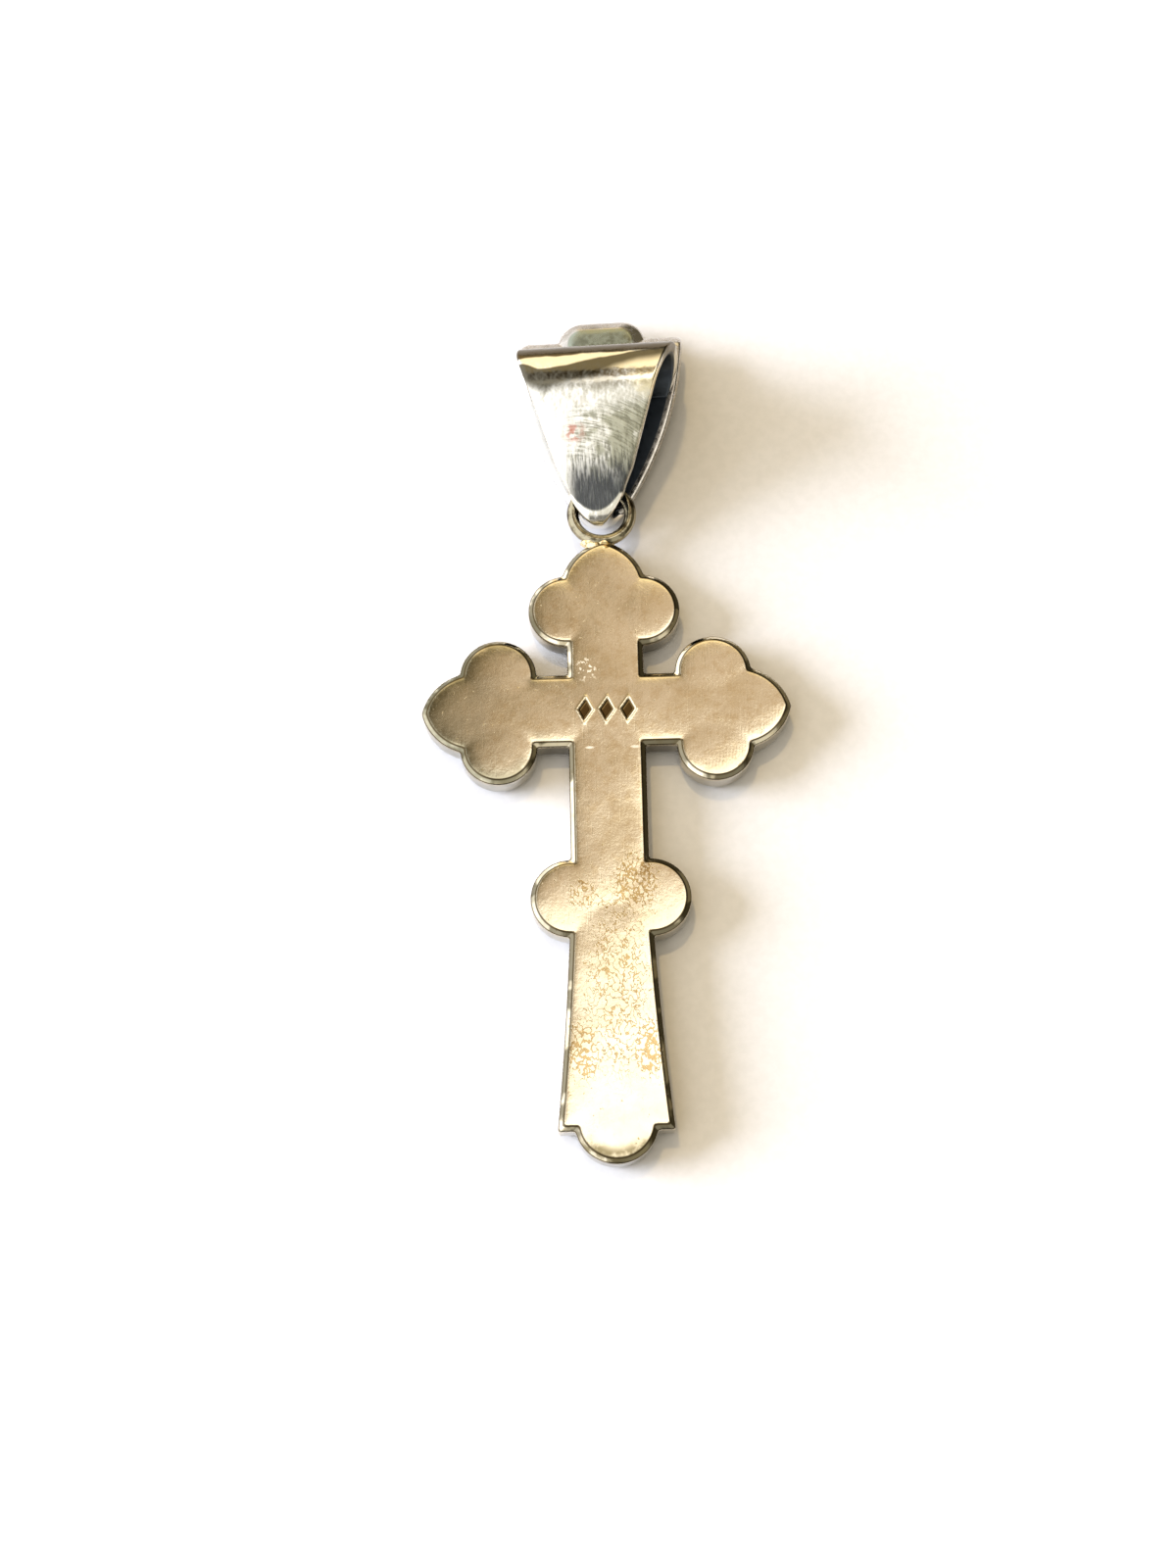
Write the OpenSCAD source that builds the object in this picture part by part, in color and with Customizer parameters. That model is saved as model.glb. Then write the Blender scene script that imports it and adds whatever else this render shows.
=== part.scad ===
// Silver cross pendant lying face down on its folded bail and its front face.
// Millimetres. +Z is up, the surface that it lies on is z = 0, and the cross's
// head and its bail point along +Y. Two pieces: the cross with its soldered
// ring, and the loose bail that passes through the ring.

/* [Cross plate] */
// Thickness of the cross plate
cross_t = 1.75; // [1.2:0.05:2.6]
// Width of the upright and of the arms
bar_w = 4.4; // [3.6:0.1:5.4]
// From the crossing to the tip of each arm
arm_reach = 10.6; // [9:0.1:13]
// From the crossing to the tip of the head
head_reach = 10.6; // [9:0.1:13]
// From the crossing to the tip of the foot
foot_reach = 26.1; // [23:0.1:32]
// Bevel all round the back edge and the front edge
edge_bevel = 0.27; // [0.1:0.01:0.45]

/* [Lobed ends] */
// Radius of the two side lobes of an upper end
side_lobe_r = 2.2; // [1.7:0.05:2.7]
// From the tip of an upper end back to the centres of its side lobes
side_lobe_inset = 4.4; // [3.6:0.1:5.2]
// Width of the pointed lobe between the side lobes
tip_lobe_w = 5; // [4:0.1:6]
// From the widest place of the pointed lobe to its tip
tip_lobe_len = 3.1; // [2.8:0.1:4]

/* [Waist and leg] */
// From the crossing down to the centres of the two waist lobes
waist_drop = 11.2; // [9.5:0.1:13]
// Radius of the waist lobes
waist_lobe_r = 2.25; // [1.8:0.05:2.8]
// Width of the leg at the waist
leg_w_top = 4.5; // [4:0.1:5]
// Width of the leg at its square shoulders
leg_w_end = 6.4; // [5.8:0.1:7.4]
// How far each side of the leg is hollowed between its two widths
leg_hollow = 0.1; // [0.05:0.01:0.2]
// Radius of the foot lobe
foot_lobe_r = 2.3; // [1.9:0.05:2.8]
// How far the foot lobe stands out below the shoulders
foot_lobe_out = 1.8; // [1.3:0.1:2]

/* [Ring] */
// Diameter of the ring's wire
ring_wire = 0.7; // [0.55:0.05:0.9]
// Inner diameter of the ring
ring_id = 2.7; // [2.4:0.1:3.2]
// How far the ring's outside is let into the cross's tip
ring_sink = 0.24; // [0.15:0.01:0.35]
// Radius of the solder between ring and tip
solder_r = 0.5; // [0.4:0.05:0.6]

/* [Bail] */
// Width of the bail's front plate and of its fold at the top
bail_w_top = 9.8; // [8:0.1:11]
// Width of the bail at its lower roll
bail_w_low = 3.4; // [3:0.1:3.8]
// From the axis of the lower roll to the axis of the fold
loop_len = 6.6; // [5.5:0.1:8]
// Outer radius of the fold at the top
fold_r = 2.7; // [2.3:0.05:3.2]
// Thickness of the strip that makes the fold and the back leaf
strip_t = 0.67; // [0.5:0.01:0.8]
// Thickness of the front plate
plate_t = 0.9; // [0.7:0.05:1.1]
// Thickness of the front leaf under the ring
leaf_t_low = 0.5; // [0.4:0.05:0.6]
// Room between the ring's wire and the leaves that lean over and under it
ring_play = 0.08; // [0.05:0.01:0.15]
// Room between the ring and each side of the bail's neck when it is centred
neck_play = 0.5; // [0.4:0.05:0.6]

/* [Bail head] */
// How far the plate's shoulders stand above the fold
plate_rise = 1.85; // [1.2:0.05:2.4]
// Width of the lobe on the plate's top edge
crest_w = 5.3; // [4.5:0.1:6]
// Height of that lobe above the shoulders
crest_h = 1.2; // [0.8:0.05:1.4]
// Radius of the lobe's two corners
crest_r = 1.5; // [1.45:0.05:1.8]
// Slope at the back of the plate's top edge, along the plate
slope_run = 0.7; // [0.4:0.05:0.9]
// Slope at the back of the plate's top edge, through the plate
slope_drop = 0.45; // [0.3:0.05:0.55]
// Small bevel along the plate's sides and front edge
plate_bevel = 0.15; // [0.05:0.01:0.25]

/* [How the bail lies] */
// Lean of the bail to the side, onto its left edge
bail_lean = 7; // [4:0.5:10]
// Turn of the bail on the surface
bail_turn = -1.6; // [-3:0.1:3]
// From the ring's centre up to the axis of the bail's lower roll
bail_above_ring = 0.6; // [0.5:0.02:0.7]
// Sideways place of the bail's neck in the ring
bail_aside = -0.15; // [-0.2:0.01:0.2]

/* [Hidden] */
$fn = 96;
// Spare length of a cutter past what it cuts
over = 1;
// Segments of a wide, shallow arc
arc_fn = 720;
// Angle between the points of a drawn arc
arc_step = 7.5;

ring_mid_r = (ring_id + ring_wire) / 2;
ring_y = head_reach + ring_mid_r + ring_wire / 2 - ring_sink;

// The bail is drawn flat on its front leaf: x across, y up the leaf from the
// axis of the lower roll, z from the front face towards the back.
// The ring's wire crosses under the roll's axis at wire_x, where the lean
// brings one leaf down and the other up towards it
wire_x = sqrt(ring_mid_r * ring_mid_r - bail_above_ring * bail_above_ring);
hole_low_r = (ring_wire / 2 + ring_play + wire_x * sin(bail_lean)) / cos(bail_lean);
hole_low_z = leaf_t_low + hole_low_r;
roll_r = (leaf_t_low + strip_t) / 2 + hole_low_r;
hole_top_r = fold_r - (plate_t + strip_t) / 2;
hole_top_z = plate_t + hole_top_r;
shoulder_y = loop_len + fold_r + plate_rise;
neck_w = ring_id - 2 * neck_play;
// The neck is hollowed by two round cuts as wide as the roll is deep. They
// start just below the line where the roll meets the leaves
neck_cut_r = roll_r - plate_bevel;
neck_start = hole_low_r / 6;
// Each side of the plate is an arc, upright at the shoulder. At the roll it
// starts a little inside the strip's straight side, and crosses it further up
side_tuck = 0.06;
side_in = (bail_w_top - bail_w_low) / 2 + side_tuck;
side_r = (shoulder_y * shoulder_y + side_in * side_in) / (2 * side_in);
side_x = side_r - bail_w_top / 2;

// Height of the ring's wire axis: the ring lies flush with the back face, or
// higher where the plate is too thin to hold the leaning roll off the surface
ring_z = max(cross_t - ring_wire / 2, hole_low_z + bail_w_low / 2 * sin(bail_lean));
bail_y = ring_y + bail_above_ring;

// Turns an arrow of the flat bail into the way that the bail lies
function lie(v, pitch) =
    let (x = v[0] * cos(bail_lean) - v[2] * sin(bail_lean),
         up = v[0] * sin(bail_lean) + v[2] * cos(bail_lean),
         y = v[1] * cos(pitch) - up * sin(pitch))
    [x * cos(bail_turn) - y * sin(bail_turn),
     x * sin(bail_turn) + y * cos(bail_turn),
     v[1] * sin(pitch) + up * cos(pitch)];

// The roll is carried at the ring's height and the plate's left side comes down
// to the surface: the pitch that does this is found by halving
function side_low(pitch) =
    ring_z + lie([side_x, shoulder_y, -hole_low_z], pitch)[2]
    - (side_r - plate_bevel) * norm([lie([1, 0, 0], pitch)[2], lie([0, 1, 0], pitch)[2]]);
function settle(low, high, turns) =
    let (middle = (low + high) / 2)
    turns == 0 ? middle
    : side_low(middle) > 0 ? settle(low, middle, turns - 1)
    : settle(middle, high, turns - 1);
bail_pitch = settle(-8, 12, 30);

// Highest y of the crest's rim once the bail lies as it does
crest_x = crest_w / 2 - crest_r;
crest_y = shoulder_y + crest_h - crest_r;
across_y = lie([1, 0, 0], bail_pitch)[1];
along_y = lie([0, 1, 0], bail_pitch)[1];
rim_z = lie([0, 0, 1], bail_pitch)[1] < 0 ? plate_bevel : plate_t - slope_drop;
crest_top = lie([sign(across_y) * crest_x, crest_y, rim_z - hole_low_z], bail_pitch)[1]
    + crest_r * norm([across_y, along_y]);
// The crossing is placed so that the whole object is centred on the origin
crossing_y = (foot_reach - bail_y - crest_top) / 2;

// Points of an arc from angle a to angle b
function arc_points(centre, r, a, b) =
    let (steps = ceil(abs(b - a) / arc_step))
    [for (i = [0:steps]) centre + r * [cos(a + (b - a) * i / steps), sin(a + (b - a) * i / steps)]];
// Outline round two circles and the lines that touch both
function teardrop_points(low, low_r, top, top_r) =
    let (run = top - low, lean = atan2(run[1], run[0]), open = asin((top_r - low_r) / norm(run)))
    concat(arc_points(top, top_r, lean - 90 - open, lean + 90 + open),
           arc_points(low, low_r, lean + 90 + open, lean + 270 - open));

// Disc with bevelled rims, standing on z = 0
module bevelled_disc(r, t, low_bevel, top_bevel) {
    rotate_extrude()
        polygon([[0, 0], [r - low_bevel, 0], [r, low_bevel],
                 [r, t - top_bevel], [r - top_bevel, t], [0, t]]);
}

// Bar of the cross along +X with bevelled long edges
module bevelled_bar(length, w, t, bevel) {
    rotate([90, 0, 90])
        linear_extrude(height = length)
            polygon([[-w / 2, bevel], [bevel - w / 2, 0], [w / 2 - bevel, 0], [w / 2, bevel],
                     [w / 2, t - bevel], [w / 2 - bevel, t], [bevel - w / 2, t], [-w / 2, t - bevel]]);
}

// Pointed lobe: two wide discs that cross, with the tip on +Y
module tip_lobe() {
    half = tip_lobe_w / 2;
    offset_x = (tip_lobe_len * tip_lobe_len - half * half) / tip_lobe_w;
    intersection_for (side = [-1, 1])
        translate([side * offset_x, 0, 0])
            bevelled_disc(half + offset_x, cross_t, edge_bevel, edge_bevel);
}

// Three-lobed end of an arm or of the head, which runs from the crossing to +Y
module lobed_end(reach) {
    for (side = [-1, 1])
        translate([side * bar_w / 2, reach - side_lobe_inset, 0])
            bevelled_disc(side_lobe_r, cross_t, edge_bevel, edge_bevel);
    translate([0, reach - tip_lobe_len, 0]) tip_lobe();
    rotate([0, 0, 90]) bevelled_bar(reach - tip_lobe_len, bar_w, cross_t, edge_bevel);
}

// Flared leg from the waist to the square shoulders, hollowed at both sides
module leg() {
    leg_end = foot_reach - foot_lobe_out;
    leg_len = leg_end - waist_drop;
    widen = (leg_w_end - leg_w_top) / 2;
    chord = norm([leg_len, widen]);
    hollow_r = (chord * chord / 4 + leg_hollow * leg_hollow) / (2 * leg_hollow);
    // Centre of the arc that hollows the right side
    mid_x = (leg_w_top + leg_w_end) / 4 + (hollow_r - leg_hollow) * leg_len / chord;
    mid_y = -(waist_drop + leg_end) / 2 + (hollow_r - leg_hollow) * widen / chord;
    difference() {
        translate([-leg_w_end / 2, -leg_end, 0]) cube([leg_w_end, leg_len, cross_t]);
        for (side = [-1, 1])
            translate([side * mid_x, mid_y, 0])
                rotate_extrude($fn = arc_fn)
                    polygon([[0, -over], [hollow_r + edge_bevel + over, -over], [hollow_r, edge_bevel],
                             [hollow_r, cross_t - edge_bevel],
                             [hollow_r + edge_bevel + over, cross_t + over], [0, cross_t + over]]);
    }
}

// Ring of round wire, let into the head's tip, with its solder
module soldered_ring() {
    translate([0, ring_y, ring_z])
        rotate_extrude() translate([ring_mid_r, 0]) circle(d = ring_wire, $fn = 32);
    translate([0, head_reach, ring_z - solder_r / 4]) sphere(r = solder_r, $fn = 48);
}

module cross() {
    color("tan")
        translate([0, crossing_y, 0]) {
            lobed_end(head_reach);
            for (side = [-1, 1]) rotate([0, 0, side * 90]) lobed_end(arm_reach);
            rotate([0, 0, -90]) bevelled_bar(waist_drop, bar_w, cross_t, edge_bevel);
            for (side = [-1, 1])
                translate([side * leg_w_top / 2, -waist_drop, 0])
                    bevelled_disc(waist_lobe_r, cross_t, edge_bevel, edge_bevel);
            leg();
            translate([0, foot_lobe_r - foot_reach, 0])
                bevelled_disc(foot_lobe_r, cross_t, edge_bevel, edge_bevel);
            soldered_ring();
        }
}

// Extrudes a side view of the bail, drawn as (y, z), across its whole width
module across_bail(w) {
    translate([-w / 2, 0, 0]) rotate([90, 0, 90]) linear_extrude(height = w) children();
}

// Strip of the bail: it rises as the back leaf and folds over to the front
module strip_loop() {
    crown_y = loop_len + fold_r;
    half_top = bail_w_top / 2;
    half_low = bail_w_low / 2;
    taper = (half_top - half_low) / crown_y;
    tail_half = half_low - taper * roll_r;
    intersection() {
        across_bail(bail_w_top)
            polygon(teardrop_points([0, roll_r], roll_r, [loop_len, fold_r], fold_r));
        linear_extrude(height = 2 * fold_r + over)
            polygon([[-tail_half, -roll_r], [tail_half, -roll_r],
                     [half_top, crown_y], [-half_top, crown_y]]);
    }
}

// Lobe that stands on the plate's top edge
module crest() {
    slope = slope_drop / slope_run;
    for (side = [-1, 1])
        translate([side * crest_x, crest_y, 0])
            rotate_extrude()
                polygon([[0, 0], [crest_r - plate_bevel, 0], [crest_r, plate_bevel],
                         [crest_r, plate_t - slope_drop], [crest_r - slope_run, plate_t], [0, plate_t]]);
    translate([0, crest_y - crest_r, 0])
        across_bail(2 * crest_x)
            polygon([[0, 0], [2 * crest_r - plate_bevel, 0], [2 * crest_r, plate_bevel],
                     [2 * crest_r, plate_t - slope_drop], [2 * crest_r - slope_run, plate_t], [0, plate_t]]);
}

// Front plate of the bail, with arched sides, square shoulders and the crest
module front_plate() {
    intersection() {
        across_bail(bail_w_top)
            polygon([[0, 0], [shoulder_y - plate_bevel, 0], [shoulder_y, plate_bevel],
                     [shoulder_y, plate_t - slope_drop], [shoulder_y - slope_run, plate_t], [0, plate_t]]);
        intersection_for (side = [-1, 1])
            translate([side * (side_r - bail_w_top / 2), shoulder_y, 0])
                rotate_extrude($fn = arc_fn)
                    polygon([[0, 0], [side_r - plate_bevel, 0], [side_r, plate_bevel],
                             [side_r, plate_t - plate_bevel], [side_r - plate_bevel, plate_t], [0, plate_t]]);
    }
    crest();
}

// The bail as it is drawn, flat on its front leaf
module flat_bail() {
    difference() {
        union() {
            strip_loop();
            front_plate();
        }
        across_bail(bail_w_top + 2 * over)
            polygon(teardrop_points([0, hole_low_z], hole_low_r, [loop_len, hole_top_z], hole_top_r));
        // Neck that passes through the ring
        for (side = [-1, 1])
            translate([side * (neck_w / 2 + neck_cut_r), -neck_start, hole_low_z])
                rotate([90, 0, 0]) cylinder(r = neck_cut_r, h = roll_r + over);
    }
}

module bail() {
    color("silver")
        translate([bail_aside, crossing_y + bail_y, ring_z])
            rotate([0, 0, bail_turn]) rotate([bail_pitch, 0, 0]) rotate([0, -bail_lean, 0])
                translate([0, 0, -hole_low_z]) flat_bail();
}

cross();
bail();
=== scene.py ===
# %% [markdown]
# # A silver cross pendant, lying on its face
#
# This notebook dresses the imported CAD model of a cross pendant. The photo
# shows the back of a cast silver cross on white card, with the folded bail
# that a chain runs through lying above it. The CAD gives every size. Here
# each piece gets the soft edges, the wear and the finish of real silver.
#
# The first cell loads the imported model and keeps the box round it.

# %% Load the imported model
import math

import bpy
import numpy as np
from mathutils import Matrix, Vector
from mathutils.geometry import delaunay_2d_cdt


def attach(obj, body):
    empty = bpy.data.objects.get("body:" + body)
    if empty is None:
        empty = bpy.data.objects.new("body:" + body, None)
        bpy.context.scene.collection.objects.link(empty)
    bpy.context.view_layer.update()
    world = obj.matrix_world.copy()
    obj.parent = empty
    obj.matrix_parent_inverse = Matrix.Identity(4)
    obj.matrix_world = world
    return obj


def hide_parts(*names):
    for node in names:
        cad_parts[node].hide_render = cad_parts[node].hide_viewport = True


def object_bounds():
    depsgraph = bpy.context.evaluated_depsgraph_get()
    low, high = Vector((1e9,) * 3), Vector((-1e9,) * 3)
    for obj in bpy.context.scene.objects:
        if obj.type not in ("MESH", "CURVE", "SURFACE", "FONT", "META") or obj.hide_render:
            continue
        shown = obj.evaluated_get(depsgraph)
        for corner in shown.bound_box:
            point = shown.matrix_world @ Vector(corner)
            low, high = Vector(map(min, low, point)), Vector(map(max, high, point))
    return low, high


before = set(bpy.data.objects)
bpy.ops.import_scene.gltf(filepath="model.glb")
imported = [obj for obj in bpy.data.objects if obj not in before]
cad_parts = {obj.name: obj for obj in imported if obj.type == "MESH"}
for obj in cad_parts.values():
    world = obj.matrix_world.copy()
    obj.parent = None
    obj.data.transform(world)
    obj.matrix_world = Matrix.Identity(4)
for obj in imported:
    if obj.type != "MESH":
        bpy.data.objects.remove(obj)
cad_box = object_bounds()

print("nodes:", sorted(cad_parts))

# %% [markdown]
# ## Sizes
#
# The sizes are those of the CAD source, in millimetres, so that each finer
# piece lies exactly where its plain solid does. Blender works in metres, so
# every mesh is scaled by one thousandth when it is made.

# %% Sizes of the cross
MM = 0.001

cross_t, bar_w, edge_bevel = 1.75, 4.4, 0.27
arm_reach, head_reach, foot_reach = 10.6, 10.6, 26.1
side_lobe_r, side_lobe_inset = 2.2, 4.4
tip_lobe_w, tip_lobe_len = 5.0, 3.1
waist_drop, waist_lobe_r = 11.2, 2.25
leg_w_top, leg_w_end, leg_hollow = 4.5, 6.4, 0.1
foot_lobe_r, foot_lobe_out = 2.3, 1.8
ring_wire, ring_id, ring_sink, solder_r = 0.7, 2.7, 0.24, 0.5

# %% Sizes of the bail
bail_w_top, bail_w_low, loop_len, fold_r = 9.8, 3.4, 6.6, 2.7
strip_t, plate_t, leaf_t_low = 0.67, 0.9, 0.5
ring_play, neck_play = 0.08, 0.5
plate_rise, crest_w, crest_h, crest_r = 1.85, 5.3, 1.2, 1.5
slope_run, slope_drop, plate_bevel, side_tuck = 0.7, 0.45, 0.15, 0.06
bail_lean, bail_turn = math.radians(7), math.radians(-1.6)
bail_above_ring, bail_aside = 0.6, -0.15

# %% [markdown]
# The bail hangs loosely on the ring. On the table it leans on its left edge
# while the ring carries its lower roll. The pitch that brings the edge of its
# plate down to the table is found by halving, as in the CAD.

# %% Where the ring and the bail lie
ring_mid_r = (ring_id + ring_wire) / 2
ring_y = head_reach + ring_mid_r + ring_wire / 2 - ring_sink
wire_x = math.sqrt(ring_mid_r**2 - bail_above_ring**2)
hole_low_r = (ring_wire / 2 + ring_play + wire_x * math.sin(bail_lean)) / math.cos(bail_lean)
hole_low_z = leaf_t_low + hole_low_r
roll_r = (leaf_t_low + strip_t) / 2 + hole_low_r
hole_top_r = fold_r - (plate_t + strip_t) / 2
hole_top_z = plate_t + hole_top_r
shoulder_y = loop_len + fold_r + plate_rise
neck_w = ring_id - 2 * neck_play
neck_cut_r = roll_r - plate_bevel
side_in = (bail_w_top - bail_w_low) / 2 + side_tuck
side_r = (shoulder_y**2 + side_in**2) / (2 * side_in)
side_x = side_r - bail_w_top / 2
ring_z = max(cross_t - ring_wire / 2, hole_low_z + bail_w_low / 2 * math.sin(bail_lean))


def turned(pitch):
    """The rotation from the flat bail to the bail as it lies."""
    return np.array(
        Matrix.Rotation(bail_turn, 3, "Z")
        @ Matrix.Rotation(pitch, 3, "X")
        @ Matrix.Rotation(-bail_lean, 3, "Y")
    )


def side_low(pitch):
    """Height over the table of the lowest point of the plate's left edge."""
    up = turned(pitch)[2]
    return (ring_z + up @ [side_x, shoulder_y, -hole_low_z]
            - (side_r - plate_bevel) * math.hypot(up[0], up[1]))


low, high = math.radians(-8), math.radians(12)
for _ in range(40):
    middle = (low + high) / 2
    low, high = (low, middle) if side_low(middle) > 0 else (middle, high)
bail_turned = turned(low)

# The crossing's y comes from the CAD box, which is centred on the origin
crossing_y = foot_reach - (cad_box[1][1] - cad_box[0][1]) / 2 / MM
bail_place = np.array([bail_aside, crossing_y + ring_y + bail_above_ring, ring_z])
print(f"pitch {math.degrees(low):.2f} degrees, crossing at y = {crossing_y:.3f} mm")


def lie(points):
    """Points of the flat bail, moved to where it lies."""
    return (np.asarray(points, float) - [0, 0, hole_low_z]) @ bail_turned.T + bail_place


# %% [markdown]
# ## Helpers
#
# Four small helpers serve every piece. One makes a mesh object from points in
# millimetres, and one keeps a vector at each point, from which the materials
# know where on the piece they are. One adds a node with its settings and
# links, and one turns a hex colour into Blender's linear values.

# %% Make an object from points
def make_piece(name, points, faces):
    """A smooth mesh object at the origin, from points in millimetres."""
    mesh = bpy.data.meshes.new(name)
    mesh.from_pydata((np.asarray(points) * MM).tolist(), [], faces)
    mesh.polygons.foreach_set("use_smooth", [True] * len(mesh.polygons))
    mesh.update()
    piece = bpy.data.objects.new(name, mesh)
    bpy.context.scene.collection.objects.link(piece)
    print(f"{name}: {len(points)} points, {len(faces)} faces")
    return piece


# %% Keep a vector at each point for the materials
def note(piece, name, vectors):
    """Keeps the vectors as an attribute of the piece's points."""
    kept = piece.data.attributes.new(name, "FLOAT_VECTOR", "POINT")
    kept.data.foreach_set("vector", np.asarray(vectors, float).ravel())


# %% Add a node
def add(tree, kind, inputs=None, **settings):
    """A new node with its settings and links.

    An input is a value, a socket to link, or a node, whose output in use is linked.
    """
    node = tree.nodes.new(kind)
    for name, value in settings.items():
        setattr(node, name, value)
    for name, value in (inputs or {}).items():
        if isinstance(value, bpy.types.Node):
            value = next(output for output in value.outputs if output.enabled)
        if isinstance(value, bpy.types.NodeSocket):
            tree.links.new(value, node.inputs[name])
        else:
            node.inputs[name].default_value = value
    return node


# %% Turn a hex colour into linear values
def colour(hex_code):
    srgb = [int(hex_code[i:i + 2], 16) / 255 for i in (1, 3, 5)]
    return [c / 12.92 if c <= 0.04045 else ((c + 0.055) / 1.055) ** 2.4 for c in srgb] + [1]


# %% [markdown]
# ## The camera
#
# The photo was taken from above, about 13 cm away, tilted 19 degrees towards
# the foot of the cross. The place and the turn below were fitted to the
# outline of the cross, so the render can be laid over the photo.

# %% Place the camera
camera_right = (0.99972, -0.02095, -0.01097)
camera_up = (0.02337, 0.94574, 0.32408)
camera_back = (0.00358, -0.32425, 0.94597)
camera_at = (-0.673, -47.754 + crossing_y, 126.076 + cross_t)

camera = bpy.data.objects.new("camera", bpy.data.cameras.new("camera"))
bpy.context.scene.collection.objects.link(camera)
turn = Matrix((camera_right, camera_up, camera_back)).transposed().to_4x4()
camera.matrix_world = Matrix.Translation(Vector(camera_at) * MM) @ turn
camera.data.sensor_width, camera.data.lens = 36, 54
camera.data.clip_start, camera.data.clip_end = 0.002, 20
bpy.context.scene.camera = camera

# %% [markdown]
# ## A plate with soft edges
#
# The cross and the bail's front plate are both flat plates with a curved
# outline. A plain extrusion has knife edges that no polished silver has. So
# the plate is built from a distance: how far each point lies inside the
# outline. Rings of points follow the outline at chosen depths, close together
# where the edge bends, and the height of each point comes from its depth.

# %% Follow a line of equal depth
def level_loops(depth, level, low, high, step):
    """Closed lines on which depth(x, y) is level, found on a square grid."""
    xs, ys = np.arange(low[0], high[0], step), np.arange(low[1], high[1], step)
    field = depth(*np.meshgrid(xs, ys, indexing="ij")) - level
    inside = field > 0
    mixed = inside[:-1, :-1].astype(int) + inside[1:, :-1] + inside[:-1, 1:] + inside[1:, 1:]
    near, points = {}, {}

    def crossing(a, b):
        if (a, b) not in points:
            share = field[a] / (field[a] - field[b])
            points[a, b] = (xs[a[0]] + share * (xs[b[0]] - xs[a[0]]),
                            ys[a[1]] + share * (ys[b[1]] - ys[a[1]]))
        return a, b

    for i, j in np.argwhere((mixed > 0) & (mixed < 4)).tolist():
        sides = [((i, j), (i + 1, j)), ((i + 1, j), (i + 1, j + 1)),
                 ((i, j + 1), (i + 1, j + 1)), ((i, j), (i, j + 1))]
        cut = [crossing(a, b) for a, b in sides if inside[a] != inside[b]]
        for a, b in zip(cut[::2], cut[1::2]):
            near.setdefault(a, []).append(b)
            near.setdefault(b, []).append(a)
    loops = []
    while near:
        start = here = next(iter(near))
        loop, before = [], None
        while here in near:
            loop.append(points[here])
            ways = near.pop(here)
            here, before = (ways[0] if ways[0] != before and ways[0] in near else ways[-1]), here
        loops.append(np.array(loop))
    return loops


# %% Space points evenly along a line
def evenly(depth, level, loop, spacing):
    """Points at even spacing along a closed line, drawn back onto the level."""
    closed = np.vstack([loop, loop[:1]])
    along = np.concatenate([[0], np.cumsum(np.hypot(*np.diff(closed, axis=0).T))])
    count = max(8, round(along[-1] / spacing))
    at = np.arange(count) * along[-1] / count
    x, y = (np.interp(at, along, closed[:, k]) for k in (0, 1))
    tiny = 1e-4
    for _ in range(3):
        gx = (depth(x + tiny, y) - depth(x - tiny, y)) / (2 * tiny)
        gy = (depth(x, y + tiny) - depth(x, y - tiny)) / (2 * tiny)
        miss = (level - depth(x, y)) / np.maximum(gx**2 + gy**2, 0.25)
        x, y = x + miss * gx, y + miss * gy
    return np.column_stack([x, y])


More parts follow.
